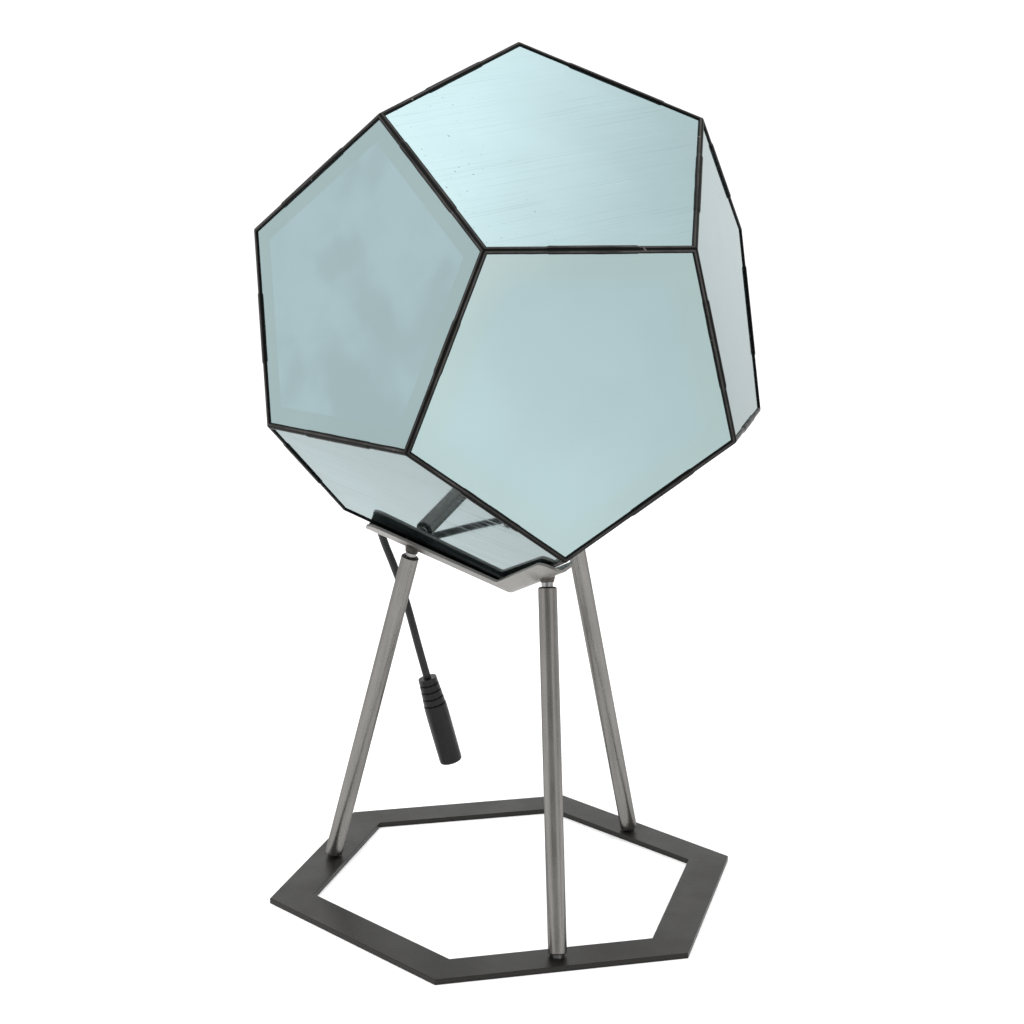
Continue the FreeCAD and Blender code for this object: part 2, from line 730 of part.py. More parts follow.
def boot_profile():
    """The ribbed boot's outline: rings that grow towards the barrel, a groove after each."""
    rings = int(SIZE["boot_rings"])
    pitch = SIZE["boot_length"] / rings
    growth = (SIZE["connector_diameter"] - SIZE["boot_diameter"]) / 2 / (rings + 1)
    points = []
    for number in range(rings):
        radius = SIZE["boot_diameter"] / 2 + growth * number
        low, high = pitch * number, pitch * (number + 1) - SIZE["boot_groove"]
        groove = radius - SIZE["boot_groove_depth"]
        points += [Vector(radius, low, 0), Vector(radius + growth / 2, high, 0)]
        points += [Vector(groove, high, 0), Vector(groove, pitch * (number + 1), 0)]
    points.append(Vector(SIZE["connector_diameter"] / 2 - growth / 2, SIZE["boot_length"], 0))
    return points


def connector():
    """A moulded in-line power socket: ribbed boot, barrel, contact sleeve and centre pin."""
    boot = boot_profile()
    length = SIZE["connector_length"]
    socket, floor = SIZE["socket_diameter"] / 2, length - SIZE["socket_depth"]
    points = [Vector()] + boot
    points.append(Vector(SIZE["connector_diameter"] / 2, SIZE["shoulder_length"], 0))
    points.append(Vector(SIZE["connector_end_diameter"] / 2, length, 0))
    rounds = {len(points) - 1: SIZE["connector_end_round"]}
    points += [Vector(socket, length, 0), Vector(socket, floor, 0), Vector(0, floor, 0)]
    profile = outline("connector_profile", points, rounds)
    profile.Placement.Rotation = Rotation(Vector(1, 0, 0), 90)
    body = doc.addObject("Part::Revolution", "connector_body")
    body.Source = profile
    body.Axis = UP
    body.Angle = 360
    body.Solid = True
    place = facing(LEAD_ROUTE[-1], PLUG_DIRECTION)
    body.Placement = place
    bottom = place.multiply(Placement(UP * floor, Rotation()))
    sleeve_length = "dims.socket_depth - dims.sleeve_recess"
    outside = cylinder("sleeve_outside", "dims.socket_diameter / 2", sleeve_length, bottom)
    bore_radius = "dims.socket_diameter / 2 - dims.sleeve_wall"
    inside = cylinder("sleeve_inside", bore_radius, "dims.socket_depth", bottom)
    sleeve = cut("connector_sleeve", outside, inside)
    pin_length = "dims.socket_depth - dims.pin_recess"
    pin = cylinder("connector_pin", "dims.pin_diameter / 2", pin_length, bottom)
    return [body, sleeve, pin]


# ---- build, check, write ----
def build():
    arms = cradle()
    nodes = [base_plate(), foot_studs(), arms, cradle_studs(arms), stud_welds(arms)]
    nodes += [leg(side, azimuth) for side, azimuth in LEG_AZIMUTHS.items()]
    bar = mitred_bar()
    nodes += panes(pane_hole())
    nodes += edge_bars(bar)
    nodes += [corner_joints(bar), led_strips(), grommet(), inner_lead()]
    nodes += controller()
    nodes.append(tube("power_lead", LEAD_ROUTE))
    nodes += connector()
    return nodes


def check(nodes):
    doc.recompute()
    for obj in doc.Objects:
        bad = [state for state in obj.State if state in ("Invalid", "Error")]
        assert not bad, "%s is %s" % (obj.Name, bad)
    for node in nodes:
        assert not node.Shape.isNull(), node.Name + " has no shape"
        assert node.Shape.isValid(), node.Name + " is not valid"
        assert node.Shape.Volume > 0, node.Name + " has no volume"


def write(nodes):
    os.makedirs("parts", exist_ok=True)
    for node in nodes:
        node.Label = node.Name
        node.Shape.exportStep("parts/%s.step" % node.Label)
    print(len(nodes), "nodes written")


all_nodes = build()
check(all_nodes)
write(all_nodes)
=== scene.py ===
"""The looks of a mirror globe light: a globe of twelve mirror panes in black edge strips, in a sheet-metal
cradle on three steel legs and a hexagonal base plate, with a short lead that hangs from the globe.

Metres, +Z up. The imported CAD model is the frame, and every piece made here rides on one of its two bodies.
"""
import math

import bpy
from mathutils import Matrix, Vector, noise


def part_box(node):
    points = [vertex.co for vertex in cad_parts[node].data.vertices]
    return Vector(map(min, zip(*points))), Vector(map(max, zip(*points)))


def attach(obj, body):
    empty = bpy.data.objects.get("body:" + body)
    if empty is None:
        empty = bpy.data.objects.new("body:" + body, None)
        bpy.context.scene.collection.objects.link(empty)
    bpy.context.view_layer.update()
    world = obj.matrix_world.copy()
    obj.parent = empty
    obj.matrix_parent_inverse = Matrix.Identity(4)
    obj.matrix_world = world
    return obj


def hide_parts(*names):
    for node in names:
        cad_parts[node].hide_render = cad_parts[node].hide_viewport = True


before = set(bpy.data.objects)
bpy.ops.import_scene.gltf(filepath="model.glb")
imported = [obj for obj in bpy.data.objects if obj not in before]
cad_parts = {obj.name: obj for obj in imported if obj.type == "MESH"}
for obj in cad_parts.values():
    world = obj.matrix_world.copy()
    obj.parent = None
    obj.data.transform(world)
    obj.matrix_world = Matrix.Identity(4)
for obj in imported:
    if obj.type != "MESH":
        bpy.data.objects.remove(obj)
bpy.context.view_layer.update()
scene = bpy.context.scene
MM = 0.001
UP = Vector((0, 0, 1))

# ---------------------------------------------------------------- camera

CAMERA_PLACE = Vector((-0.2073, -0.7760, 0.34845))
CAMERA_HEADING = math.radians(14.96)
CAMERA_TILT = math.radians(-12.24)
CAMERA_ROLL = math.radians(0.874)
CAMERA_LENS = 65.47
SENSOR_WIDTH = 36.0
NEAREST_SEEN = 0.01


def make_camera():
    """The camera looks along +Y, turned by its heading towards +X and tilted down."""
    lens = bpy.data.cameras.new("camera")
    lens.lens = CAMERA_LENS
    lens.sensor_width = SENSOR_WIDTH
    lens.clip_start = NEAREST_SEEN
    camera = bpy.data.objects.new("camera", lens)
    scene.collection.objects.link(camera)
    turn = Matrix.Rotation(-CAMERA_HEADING, 4, "Z")
    tilt = Matrix.Rotation(math.pi / 2 + CAMERA_TILT, 4, "X")
    roll = Matrix.Rotation(CAMERA_ROLL, 4, "Z")
    camera.matrix_world = Matrix.Translation(CAMERA_PLACE) @ turn @ tilt @ roll
    scene.camera = camera


make_camera()

# ---------------------------------------------------------------- node trees


def add_node(tree, kind, inputs=None, **settings):
    """A node of that kind. An input's value is a constant, or another node's output to link."""
    node = tree.nodes.new(kind)
    for name, value in settings.items():
        setattr(node, name, value)
    for key, value in (inputs or {}).items():
        if isinstance(value, bpy.types.NodeSocket):
            tree.links.new(value, node.inputs[key])
        else:
            node.inputs[key].default_value = value
    return node


def calc(tree, operation, first, second=0.0):
    """The result of one Math node."""
    node = add_node(tree, "ShaderNodeMath", {0: first, 1: second}, operation=operation)
    return node.outputs[0]


def remap(tree, value, low, high, to_low=0.0, to_high=1.0):
    """value from low..high to to_low..to_high, with smooth ends."""
    sockets = {"Value": value, "From Min": low, "From Max": high, "To Min": to_low, "To Max": to_high}
    node = add_node(tree, "ShaderNodeMapRange", sockets, interpolation_type="SMOOTHSTEP")
    return node.outputs["Result"]


def mix_colour(tree, share, first, second, blend="MIX"):
    """The blend of two colours."""
    sockets = {"Fac": share, "Color1": first, "Color2": second}
    return add_node(tree, "ShaderNodeMixRGB", sockets, blend_type=blend).outputs["Color"]


def rgb(red, green, blue):
    """A colour for a socket or a colour slot."""
    return (red, green, blue, 1.0)


def grey(value):
    return rgb(value, value, value)


def place(tree):
    """The point of the surface, in the row frame."""
    return add_node(tree, "ShaderNodeTexCoord").outputs["Object"]


def stretched(tree, vector, scale):
    """vector scaled along each axis."""
    return add_node(tree, "ShaderNodeMapping", {"Vector": vector, "Scale": scale}).outputs[0]


def clouds(tree, vector, scale, detail=3.0, roughness=0.55):
    """Noise from 0 to 1 over vector."""
    sockets = {"Vector": vector, "Scale": scale, "Detail": detail, "Roughness": roughness}
    return add_node(tree, "ShaderNodeTexNoise", sockets).outputs["Fac"]


def along(tree, vector, axis):
    """How far vector reaches along axis."""
    node = add_node(tree, "ShaderNodeVectorMath", {0: vector, 1: tuple(axis)}, operation="DOT_PRODUCT")
    return node.outputs["Value"]


def bump(tree, height, distance):
    """A bumped normal. distance is the height of a full step, in metres."""
    return add_node(tree, "ShaderNodeBump", {"Height": height, "Distance": distance}).outputs[0]


def new_material(name, metallic, specular=0.5):
    """A material with its Principled shader, and the constants that hold all over it."""
    material = bpy.data.materials.new(name)
    material.use_nodes = True
    shader = material.node_tree.nodes["Principled BSDF"]
    shader.inputs["Metallic"].default_value = metallic
    shader.inputs["Specular IOR Level"].default_value = specular
    return material, material.node_tree, shader


def finish_shader(tree, shader, colour, roughness, normal=None):
    """Links what varies over the surface."""
    tree.links.new(colour, shader.inputs["Base Color"])
    tree.links.new(roughness, shader.inputs["Roughness"])
    if normal is not None:
        tree.links.new(normal, shader.inputs["Normal"])


# ---------------------------------------------------------------- plain materials

LEG_AZIMUTHS = {"right": 30.0, "left": 150.0, "front": 270.0}
LEG_FOOT_RADIUS = 84.9 * MM
LEG_TOP_RADIUS = 45.9 * MM
LEG_TOP_TURN = 4.7  # degrees from a leg's foot to its top, about the upright axis
LEG_FOOT_HEIGHT = 2.4 * MM
LEG_TOP_HEIGHT = 151.6 * MM
RIM_START = 0.9 * MM  # where the dark rim starts, below a leg's top
RIM_FULL = 0.5 * MM
WELD_ABOVE_LEG = 4.0 * MM
WELD_DARK_FULL = 3.0 * MM  # from a weld's middle, the darkening is full up to here
WELD_DARK_END = 11.0 * MM


def around(azimuth, radius, height):
    """The point at an azimuth in degrees and a radius from the upright axis."""
    angle = math.radians(azimuth)
    return Vector((radius * math.cos(angle), radius * math.sin(angle), height))


def leg_line(side):
    """The top end's middle and the upward direction of a leg."""
    foot = around(LEG_AZIMUTHS[side], LEG_FOOT_RADIUS, LEG_FOOT_HEIGHT)
    top = around(LEG_AZIMUTHS[side] + LEG_TOP_TURN, LEG_TOP_RADIUS, LEG_TOP_HEIGHT)
    return top, (top - foot).normalized()


def coated_metal(name, dark, light, metallic, rough, grain, grain_depth, specular=0.5):
    """Powder coat or bare metal: colour clouds, and a fine grain in colour and height."""
    material, tree, shader = new_material(name, metallic, specular)
    point = place(tree)
    fine = clouds(tree, point, grain, 2.0, 0.6)
    broad = clouds(tree, point, 30.0, 4.0, 0.6)
    share = calc(tree, "MULTIPLY_ADD", broad, 0.6)
    tree.links.new(calc(tree, "MULTIPLY", fine, 0.4), share.node.inputs[2])
    colour = mix_colour(tree, remap(tree, share, 0.35, 0.65), dark, light)
    roughness = remap(tree, broad, 0.3, 0.7, rough - 0.05, rough + 0.07)
    shader.inputs["Specular Tint"].default_value = rgb(1.0, 0.97, 0.92)
    finish_shader(tree, shader, colour, roughness, bump(tree, fine, grain_depth))
    return material


def dusty_plastic(name, colour_low, colour_high, rough, specular=0.5):
    """Moulded plastic or rubber: fine pebble grain, faint dust and handling marks."""
    material, tree, shader = new_material(name, 0.0, specular)
    point = place(tree)
    dust = clouds(tree, point, 90.0, 6.0, 0.7)
    pebble = clouds(tree, point, 2200.0, 2.0, 0.5)
    colour = mix_colour(tree, remap(tree, dust, 0.45, 0.75), colour_low, colour_high)
    roughness = remap(tree, dust, 0.3, 0.7, rough - 0.06, rough + 0.1)
    finish_shader(tree, shader, colour, roughness, bump(tree, pebble, 0.04 * MM))
    return material


def edge_strip_material():
    """Black patinated strip: dark rims and seam, a grey line along each lobe (wear and painted highlight),
    pale specks.
    """
    material, tree, shader = new_material("strip_black", 0.0, 0.07)
    point = place(tree)
    # The grey line along each lobe's top is partly wear and partly a painted highlight of the overhead
    # light.
    wear_and_highlight = add_node(tree, "ShaderNodeAttribute", attribute_name="wear_and_highlight").outputs["Fac"]
    patch = clouds(tree, point, 55.0, 5.0, 0.65)
    line = calc(tree, "MULTIPLY", wear_and_highlight, remap(tree, patch, 0.34, 0.66, 0.35, 1.0))
    colour = mix_colour(tree, line, rgb(0.0035, 0.0035, 0.0033), rgb(0.070, 0.068, 0.066))
    speck = remap(tree, clouds(tree, point, 620.0, 1.0, 0.5), 0.72, 0.78)
    speck = calc(tree, "MULTIPLY", speck, remap(tree, patch, 0.5, 0.62))
    colour = mix_colour(tree, speck, colour, rgb(0.22, 0.21, 0.20))
    roughness = remap(tree, patch, 0.3, 0.7, 0.28, 0.46)
    grain = clouds(tree, point, 900.0, 3.0, 0.6)
    finish_shader(tree, shader, colour, roughness, bump(tree, grain, 0.05 * MM))
    return material


def brushed_sheet_material():
    """Satin sheet metal, warm light grey, with faint rolling lines and a darkening round each weld."""
    material, tree, shader = new_material("sheet_silver", 0.80)
    point = place(tree)
    lines = clouds(tree, stretched(tree, point, (60.0, 1400.0, 1400.0)), 1.0, 3.0, 0.6)
    broad = clouds(tree, point, 45.0, 4.0, 0.6)
    colour = mix_colour(tree, broad, rgb(0.26, 0.25, 0.235), rgb(0.34, 0.325, 0.305))
    nearest = None
    for side in LEG_AZIMUTHS:
        top, axis = leg_line(side)
        sockets = {0: point, 1: tuple(top + WELD_ABOVE_LEG * axis)}
        away = add_node(tree, "ShaderNodeVectorMath", sockets, operation="DISTANCE").outputs["Value"]
        nearest = away if nearest is None else calc(tree, "MINIMUM", nearest, away)
    weld_darkening = remap(tree, nearest, WELD_DARK_FULL, WELD_DARK_END, 0.75, 0.0)
    weld_darkening = calc(tree, "MULTIPLY", weld_darkening, remap(tree, broad, 0.3, 0.6, 0.6, 1.0))
    colour = mix_colour(tree, weld_darkening, colour, rgb(0.075, 0.064, 0.056))
    roughness = remap(tree, lines, 0.3, 0.7, 0.42, 0.56)
    finish_shader(tree, shader, colour, roughness, bump(tree, lines, 0.02 * MM))
    return material


def leg_material(side):
    """Satin steel with fine drawn lines along the leg, a faint mottle and a dark rim at its top."""
    top, axis = leg_line(side)
    across = axis.cross(around(LEG_AZIMUTHS[side], 1.0, 0.0)).normalized()
    material, tree, shader = new_material("leg_" + side, 0.90)
    shader.inputs["Specular Tint"].default_value = grey(0.45)
    point = place(tree)
    measures = [along(tree, point, direction) for direction in (axis, across, axis.cross(across))]
    own = add_node(tree, "ShaderNodeCombineXYZ", dict(zip("XYZ", measures))).outputs[0]
    lines = clouds(tree, stretched(tree, own, (22.0, 1600.0, 1600.0)), 1.0, 2.0, 0.6)
    mottle = clouds(tree, stretched(tree, own, (60.0, 160.0, 160.0)), 1.0, 4.0, 0.6)
    share = calc(tree, "ADD", calc(tree, "MULTIPLY", lines, 0.65), calc(tree, "MULTIPLY", mottle, 0.35))
    worn = remap(tree, share, 0.30, 0.70)
    colour = mix_colour(tree, worn, rgb(0.178, 0.171, 0.161), rgb(0.242, 0.233, 0.220))
    end = top.dot(axis)
    rim = remap(tree, measures[0], end - RIM_START, end - RIM_FULL, 0.0, 0.8)
    colour = mix_colour(tree, rim, colour, grey(0.03))
    roughness = remap(tree, mottle, 0.3, 0.7, 0.25, 0.30)
    finish_shader(tree, shader, colour, roughness, bump(tree, lines, 0.012 * MM))
    return material


def led_material():
    """White tape with a warm phosphor dot every few millimetres."""
    material, tree, shader = new_material("led_tape", 0.0)
    point = place(tree)
    sockets = {"Vector": point, "Scale": 160.0, "Randomness": 0.0}
    cell = add_node(tree, "ShaderNodeTexVoronoi", sockets).outputs["Distance"]
    colour = mix_colour(tree, remap(tree, cell, 0.30, 0.34), rgb(0.80, 0.62, 0.16), grey(0.75))
    grain = clouds(tree, point, 400.0)
    finish_shader(tree, shader, colour, remap(tree, grain, 0.3, 0.7, 0.35, 0.5))
    return material


MATERIALS = {
    "edge_black": edge_strip_material(),
    "base_black": coated_metal(
        "base_powder_coat",
        rgb(0.005, 0.0047, 0.0042),
        rgb(0.010, 0.0094, 0.0085),
        metallic=0.0,
        rough=0.38,
        grain=1100.0,
        grain_depth=0.06 * MM,
        specular=0.31,
    ),
    "cradle_silver": brushed_sheet_material(),
    # The stud steel is darkened as painted shade at the legs' feet; the upper studs get a lighter copy
    # below.
    "stud_steel": coated_metal("stud_steel", grey(0.07), grey(0.20), 0.95, 0.32, 1800.0, 0.03 * MM),
    "weld_metal": coated_metal(
        "weld_scale", rgb(0.014, 0.0125, 0.011), rgb(0.075, 0.068, 0.062), 0.6, 0.40, 700.0, 0.20 * MM
    ),
    "led_strip": led_material(),
    "board_green": dusty_plastic("board_green", rgb(0.01, 0.10, 0.04), rgb(0.02, 0.16, 0.07), 0.4),
    "terminal_plastic": dusty_plastic(
        "terminal_plastic", rgb(0.01, 0.05, 0.16), rgb(0.02, 0.08, 0.22), 0.4
    ),
    "lead_rubber": dusty_plastic(
        "lead_rubber", rgb(0.007, 0.007, 0.0068), rgb(0.022, 0.0215, 0.021), 0.46, 0.4
    ),
    "connector_plastic": dusty_plastic(
        "connector_black", rgb(0.004, 0.004, 0.0038), rgb(0.013, 0.0127, 0.012), 0.40, 0.30
    ),
    "contact_steel": coated_metal("contact_nickel", grey(0.5), grey(0.62), 1.0, 0.24, 1500.0, 0.01 * MM),
    "contact_brass": coated_metal(
        "contact_brass", rgb(0.55, 0.38, 0.14), rgb(0.68, 0.50, 0.20), 1.0, 0.26, 1500.0, 0.01 * MM
    ),
}

# ---------------------------------------------------------------- the cord

LEAD_START = Vector((-50.515, 44.728, 174.063)) * MM
LEAD_ROUTE = [
    LEAD_START,
    Vector((-50.623, 49.887, 167.309)) * MM,
    Vector((-49.5, 52.9, 158.6)) * MM,
    Vector((-46.7, 53.9, 149.8)) * MM,
    Vector((-42.6, 53.0, 139.6)) * MM,
    Vector((-38.7, 51.3, 128.2)) * MM,
    Vector((-35.0, 49.2, 114.2)) * MM,
    Vector((-31.3, 47.8, 99.2)) * MM,
    Vector((-27.4, 47.4, 85.2)) * MM,
]
LEAD_DIAMETER = 3.6 * MM


def make_lead():
    """The hanging lead, from the grommet on the globe down to its connector."""
    curve = bpy.data.curves.new("lead", "CURVE")
    curve.dimensions = "3D"
    curve.resolution_u = 24
    curve.bevel_depth = LEAD_DIAMETER / 2
    curve.bevel_resolution = 8
    spline = curve.splines.new("NURBS")
    spline.points.add(len(LEAD_ROUTE) - 1)
    for point, where in zip(spline.points, LEAD_ROUTE):
        point.co = (*where, 1.0)
    spline.order_u = 3
    spline.use_endpoint_u = True
    lead = bpy.data.objects.new("lead", curve)
    scene.collection.objects.link(lead)
    curve.materials.append(MATERIALS["lead_rubber"])
    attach(lead, "globe")
    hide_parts("power_lead")


make_lead()

# ---------------------------------------------------------------- the globe's geometry

PANES = sorted(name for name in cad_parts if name.startswith("pane_"))


def globe_middle():
    """The middle of the box round all panes, which is the globe's centre because opposite panes match."""
    low, high = zip(*(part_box(name) for name in PANES))
    lowest = Vector(min(corner[axis] for corner in low) for axis in range(3))
    highest = Vector(max(corner[axis] for corner in high) for axis in range(3))
    return (lowest + highest) / 2


GLOBE_CENTRE = globe_middle()


def outward_normal(name):
    """The direction that a pane faces, away from the globe's centre."""
    widest = max(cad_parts[name].data.polygons, key=lambda polygon: polygon.area)
    normal = widest.normal.copy()
    return normal if normal.dot(widest.center - GLOBE_CENTRE) > 0 else -normal


NORMALS = {name: outward_normal(name) for name in PANES}
NEIGHBOUR_DOT = 1 / math.sqrt(5)  # between the normals of two panes that share an edge
DOT_SLACK = 0.05
EDGE = 84.0 * MM
APOTHEM = EDGE / (2 * math.tan(math.radians(36)))
EDGE_REACH = EDGE * (3 + math.sqrt(5)) / 4


def neighbours(name):
    """The five panes that share an edge with this one."""
    normal = NORMALS[name]
    return [other for other in PANES if abs(NORMALS[other].dot(normal) - NEIGHBOUR_DOT) < DOT_SLACK]


def in_plane(normal, direction):
    """direction laid into the plane that normal stands on, with length 1."""
    return (direction - direction.dot(normal) * normal).normalized()


# ---------------------------------------------------------------- mirror panes

GLASS_TINT = rgb(0.375, 0.495, 0.515)
BORDER_TINT = rgb(0.380, 0.489, 0.488)
SMEAR_TINT = rgb(0.415, 0.555, 0.590)
EDGE_TINT = rgb(0.90, 0.945, 0.95)
PALE_CORNER_TINT = rgb(0.70, 0.75, 0.75)
PALE_CORNER_START = 0.62  # share of the way from the pane's middle to its corner
BORDER_ROUNDING = 0.8  # how softly the band turns at a corner, in widths of its fade
PALE_LINES_SEED = 40.0
FLECK_SIDE = 200.0  # the side of a pane with the most flecks, in degrees
CORNER_REACH = EDGE / (2 * math.sin(math.radians(36)))
# The shade values are painted reflection brightness, and partly the film's own uneven tone.
# shade: brightness from one side of the pane to the other, and the direction across it in degrees.
# streaks: contrast of the fine scratches, their direction in degrees, and how much of the pane they cover.
# smears: how much the soft pale patches show. specks: how many dark flecks there are.
# border: how strong the band along the edges is, and where it ends and starts, in mm from the edge.
# and one corner that turns whiter, in degrees, and how much.
PLAIN_LOOK = {
    "shade": (0.97, 0.93, 20.0),
    "streaks": (0.35, 25.0, 0.5),
    "smears": 0.35,
    "specks": 0.0,
    "border": (0.6, 8.6, 9.8),
    "pale_corner": (0.0, 0.0),
}
PANE_LOOKS = {
    "pane_top_front": {
        "shade": (1.28, 0.90, -28.0),
        "streaks": (0.26, 15.0, 0.9),
        "smears": 0.10,
        "specks": 1.0,
        "border": (0.15, 8.0, 10.0),
    },
    "pane_upper_left": {
        "shade": (1.0, 1.0, 0.0),
        "streaks": (0.22, 60.0, 0.3),
        "smears": 0.8,
        "border": (0.6, 8.6, 9.4),
    },
    "pane_lower_front": {
        "shade": (0.885, 0.745, 35.0),
        "streaks": (0.05, 60.0, 0.3),
        "smears": 0.05,
        "border": (1.0, 7.0, 17.0),
        "pale_corner": (126.0, 0.16),
    },
    "pane_upper_right": {"shade": (0.71, 0.69, 0.0), "streaks": (0.30, 80.0, 0.5), "smears": 0.15},
    "pane_bottom_left": {"shade": (0.465, 0.425, 0.0), "streaks": (1.0, -24.0, 0.9), "smears": 0.25},
    "pane_bottom_right": {"shade": (0.80, 0.84, 0.0), "streaks": (0.6, 30.0, 0.7)},
    "pane_bottom_back": {"shade": (0.84, 0.80, 0.0), "streaks": (0.6, 10.0, 0.7)},
    "pane_top_left": {"shade": (1.05, 0.92, 35.0), "streaks": (0.5, -15.0, 0.7)},
}


def scratch_lines(tree, across, lengthwise, seed, cover):
    """Long thin lines, 0 to 1, on the covered share of a pane."""
    vector = add_node(tree, "ShaderNodeCombineXYZ", {"X": lengthwise, "Y": across, "Z": seed}).outputs[0]
    thin = clouds(tree, stretched(tree, vector, (12.0, 1300.0, 1.0)), 1.0, 2.0, 0.6)
    where = clouds(tree, stretched(tree, vector, (20.0, 45.0, 1.0)), 1.0, 2.0, 0.5)
    lowest = 0.62 - 0.32 * cover
    return calc(tree, "MULTIPLY", remap(tree, thin, 0.52, 0.70), remap(tree, where, lowest, lowest + 0.2))


def border_band(tree, offset, name, end, start):
    """1 at the edges of a pane, 0 inside it, fading between two distances from the edge in mm."""
    normal = NORMALS[name]
    reach = None
    for other in neighbours(name):
        distance = along(tree, offset, in_plane(normal, NORMALS[other]))
        if reach is None:
            reach = distance
        else:
            sockets = {0: reach, 1: distance, 2: (start - end) * BORDER_ROUNDING * MM}
            reach = add_node(tree, "ShaderNodeMath", sockets, operation="SMOOTH_MAX").outputs[0]
    return remap(tree, reach, APOTHEM - start * MM, APOTHEM - end * MM)


def pane_tint(tree, offset, name, look, corner_axis):
    """The glass's colour: plain inside, another tint along the edges, pale smears and a corner that turns
    whiter.
    """
    strength, end, start = look["border"]
    band = calc(tree, "MULTIPLY", border_band(tree, offset, name, end, start), strength)
    tint = mix_colour(tree, band, GLASS_TINT, BORDER_TINT)
    smear = remap(tree, clouds(tree, offset, 25.0, 2.0, 0.45), 0.43, 0.56)
    wipe = remap(tree, clouds(tree, offset, 75.0, 3.0, 0.5), 0.30, 0.60, 0.6, 1.0)
    covered = calc(tree, "MULTIPLY", band, look["smears"] / max(strength, 0.1))
    inside = calc(tree, "SUBTRACT", look["smears"], covered)
    smear = calc(tree, "MULTIPLY", calc(tree, "MULTIPLY", smear, wipe), inside)
    tint = mix_colour(tree, smear, tint, SMEAR_TINT)
    reach = along(tree, offset, corner_axis)
    pale_corner = remap(tree, reach, CORNER_REACH * PALE_CORNER_START, CORNER_REACH, 0.0, look["pale_corner"][1])
    return mix_colour(tree, pale_corner, tint, PALE_CORNER_TINT)


def pane_material(name, seed):
    """Half-silvered blue-grey glass with its border, smears, fine scratches and flecks, and painted
    reflection brightness.
    """
    look = {**PLAIN_LOOK, **PANE_LOOKS.get(name, {})}
    normal = NORMALS[name]
    upward = in_plane(normal, UP)
    rightward = upward.cross(normal)
    material, tree, shader = new_material("glass_" + name, 0.96)
    shader.inputs["Specular Tint"].default_value = EDGE_TINT
    sockets = {0: place(tree), 1: tuple(GLOBE_CENTRE)}
    offset = add_node(tree, "ShaderNodeVectorMath", sockets, operation="SUBTRACT").outputs[0]

    def turned_axis(degrees):
        """The direction in the pane, counted from its right towards its upper side."""
        angle = math.radians(degrees)
        return math.cos(angle) * rightward + math.sin(angle) * upward

    tint = pane_tint(tree, offset, name, look, turned_axis(look["pale_corner"][0]))
    # Painted reflection brightness across the pane, partly the film's own uneven tone.
    first, last, shade_angle = look["shade"]
    shade = remap(tree, along(tree, offset, turned_axis(shade_angle)), -APOTHEM, APOTHEM, first, last)
    broad = clouds(tree, offset, 22.0, 3.0, 0.5)
    shade = calc(tree, "MULTIPLY", shade, remap(tree, broad, 0.3, 0.7, 0.98, 1.02))
    contrast, angle, cover = look["streaks"]
    lengthwise, across = (along(tree, offset, turned_axis(angle + more)) for more in (0.0, 90.0))
    dark = scratch_lines(tree, across, lengthwise, seed, cover)
    pale = scratch_lines(tree, across, lengthwise, seed + PALE_LINES_SEED, cover)
    shade = calc(tree, "MULTIPLY", shade, remap(tree, dark, 0.0, 1.0, 1.0, 1.0 - 0.30 * contrast))
    shade = calc(tree, "MULTIPLY", shade, remap(tree, pale, 0.0, 1.0, 1.0, 1.0 + 0.16 * contrast))
    fleck = remap(tree, clouds(tree, offset, 620.0, 1.0, 0.4), 0.74, 0.77, 0.0, look["specks"])
    near_side = remap(tree, along(tree, offset, turned_axis(FLECK_SIDE)), 0.0, APOTHEM, 0.15, 1.0)
    fleck = calc(tree, "MULTIPLY", fleck, near_side)
    shade = calc(tree, "MULTIPLY", shade, remap(tree, fleck, 0.0, 1.0, 1.0, 0.45))
    value = add_node(tree, "ShaderNodeCombineColor", {0: shade, 1: shade, 2: shade}).outputs[0]
    colour = mix_colour(tree, 1.0, tint, value, "MULTIPLY")
    roughness = remap(tree, calc(tree, "MAXIMUM", dark, pale), 0.0, 1.0, 0.03, 0.16)
    wave = clouds(tree, offset, 9.0, 1.0, 0.5)
    finish_shader(tree, shader, colour, roughness, bump(tree, wave, 0.10 * MM))
    return material


def finish_cad_nodes():
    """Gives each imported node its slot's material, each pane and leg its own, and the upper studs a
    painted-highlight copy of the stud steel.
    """
    for index, name in enumerate(PANES):
        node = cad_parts[name]
        node.material_slots[0].material = pane_material(name, 3.0 * index)
    for name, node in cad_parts.items():
        slot = node.material_slots[0].material.name.split(".")[0]
        if slot in MATERIALS:
            node.material_slots[0].material = MATERIALS[slot]
    for side in LEG_AZIMUTHS:
        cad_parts["leg_" + side].material_slots[0].material = leg_material(side)
    # The upper studs: a lighter copy of the stud steel, a painted highlight of their glints.
    painted_highlight_stud = coated_metal("stud_painted_highlight", grey(0.20), grey(0.40), 0.95, 0.24, 1800.0, 0.03 * MM)
    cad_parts["cradle_studs"].material_slots[0].material = painted_highlight_stud


finish_cad_nodes()

# ---------------------------------------------------------------- edge strips

CORNER_COT = 1 / math.tan(math.radians(54))
STATIONS = 120
END_CROWDING = 0.35  # how much closer the stations stand near the ends, 0 for evenly spaced
STRIP_WIDTH = 1.80 * MM
STRIP_LIFT = 0.05 * MM
SLEEVE_RISE = 0.30 * MM
SLEEVE_WIDENING = 0.12 * MM
SLEEVE_RAMP = 0.02
CRADLE_CLEARANCE = 5 * MM
WANDER_DEPTH = 0.11 * MM
WANDER_FADE = 0.08
NICK_LENGTH = 0.006
NICK_DEPTH = 0.18 * MM
NICK_SHINE = 0.8
NICKED_LINE_LEVEL = 0.5  # a nick shows where the strip's grey line, wear and painted highlight, is at least this much
BURIED_HEIGHT = -0.3  # rows at or under this height in mm lie in the glass and don't swell
